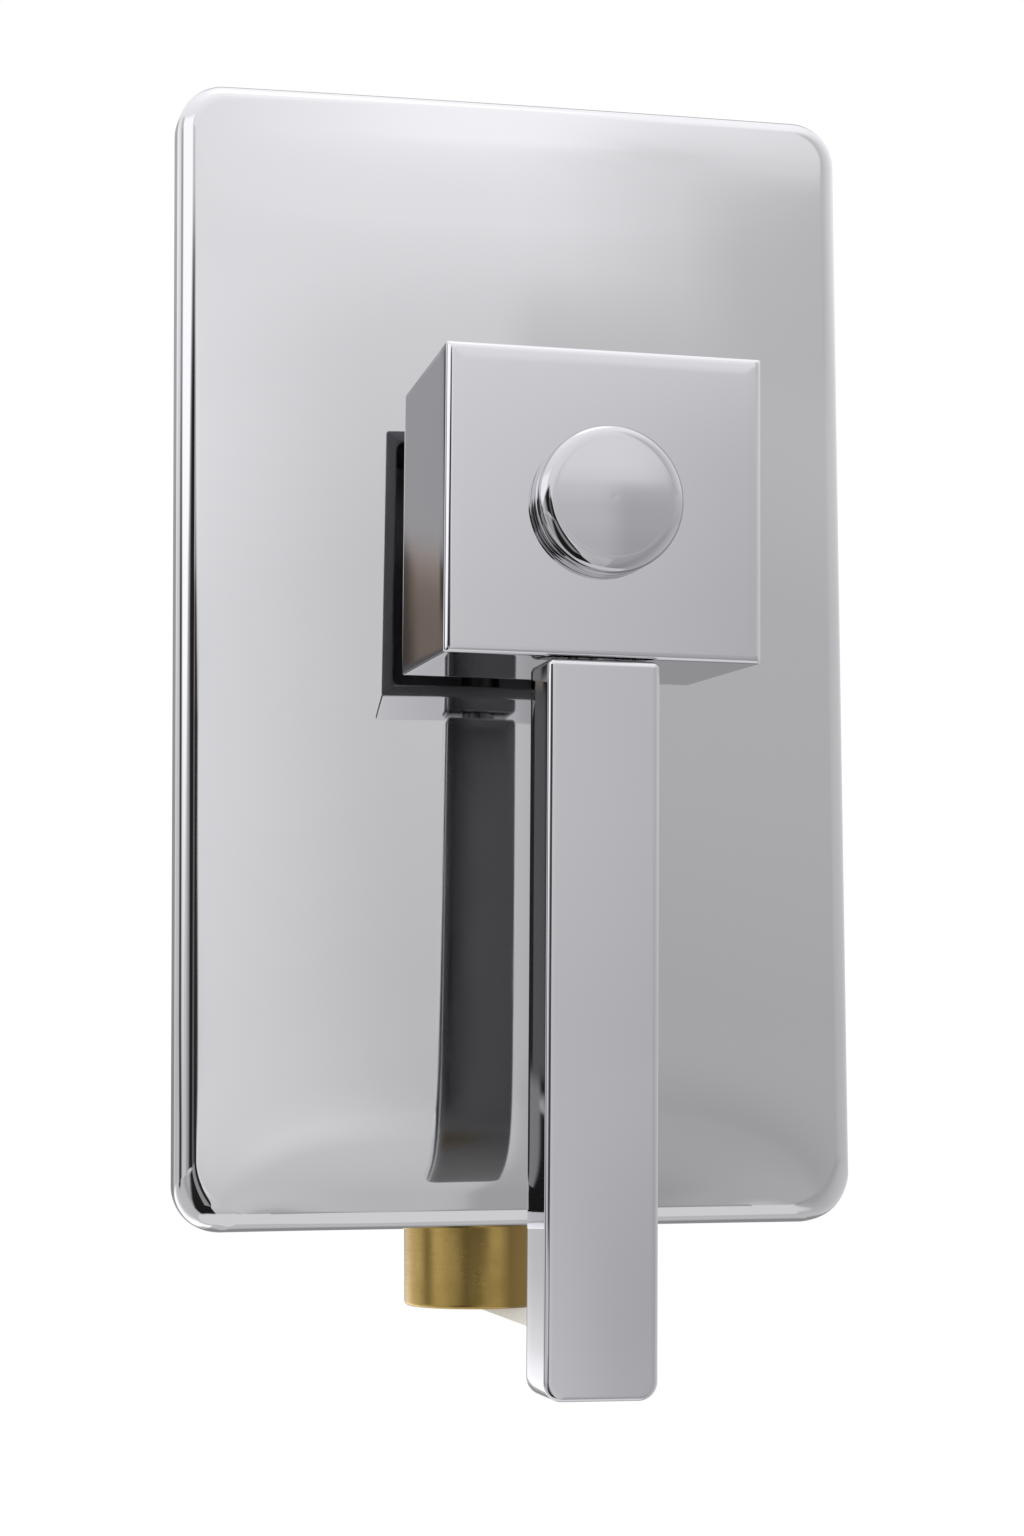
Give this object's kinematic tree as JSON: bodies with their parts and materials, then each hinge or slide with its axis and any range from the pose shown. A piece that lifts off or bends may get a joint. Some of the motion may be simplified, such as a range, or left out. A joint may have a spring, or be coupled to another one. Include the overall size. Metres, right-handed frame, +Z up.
{
  "type": "concealed stop valve",
  "caption": "Concealed quarter-turn stop valve: wall plate, round sleeve, cube hub with domed button and bar lever in front, brass body with ports behind.",
  "frame": {"origin": "on the valve's axis, in the plane of the finished wall", "axes": "+X to the right seen from the room, +Y into the wall along the valve's axis, +Z up"},
  "size_m": [0.12, 0.1195, 0.2225],
  "materials": {
    "chrome": "polished",
    "brass": "turned, satin",
    "rubber": "matt",
    "fibre": "matt",
    "foam": "matt",
    "steel": "plated",
    "ceramic": "lapped",
    "white_plastic": "moulded",
    "black_plastic": "moulded"
  },
  "bodies": {
    "valve": {"wall_plate": "chrome", "plate_gasket": "foam", "sleeve_tube": "chrome", "sleeve_cap": "chrome", "sleeve_oring": "rubber", "valve_body": "brass", "tail_seal": "fibre", "lower_tail": "brass", "lower_plug": "white_plastic", "headwork_housing": "brass", "headwork_seal": "fibre", "seat_seal": "rubber", "fixed_disc": "ceramic"},
    "handle": {"spindle": "brass", "spindle_orings": "rubber", "spindle_clip": "steel", "spindle_extension": "brass", "hub_insert": "black_plastic", "handle_hub": "chrome", "handle_screw": "steel", "screw_washer": "steel", "button_ring": "chrome", "button_cap": "chrome", "cap_oring": "rubber", "lever_stud": "steel", "lever_bar": "chrome"},
    "disc": {"moving_disc": "ceramic"}
  },
  "joints": [
    {"name": "handle_turn", "type": "hinge", "parent": "valve", "child": "handle", "pos_m": [0, 0, 0], "axis": [0, -1, 0], "range_deg": [0, 90]},
    {"name": "disc_turn", "type": "hinge", "parent": "valve", "child": "disc", "pos_m": [0, 0, 0], "axis": [0, -1, 0], "range_deg": [0, 90]}
  ],
  "couplings": [
    {"joint": "disc_turn", "follows": "handle_turn", "ratio": 1}
  ]
}
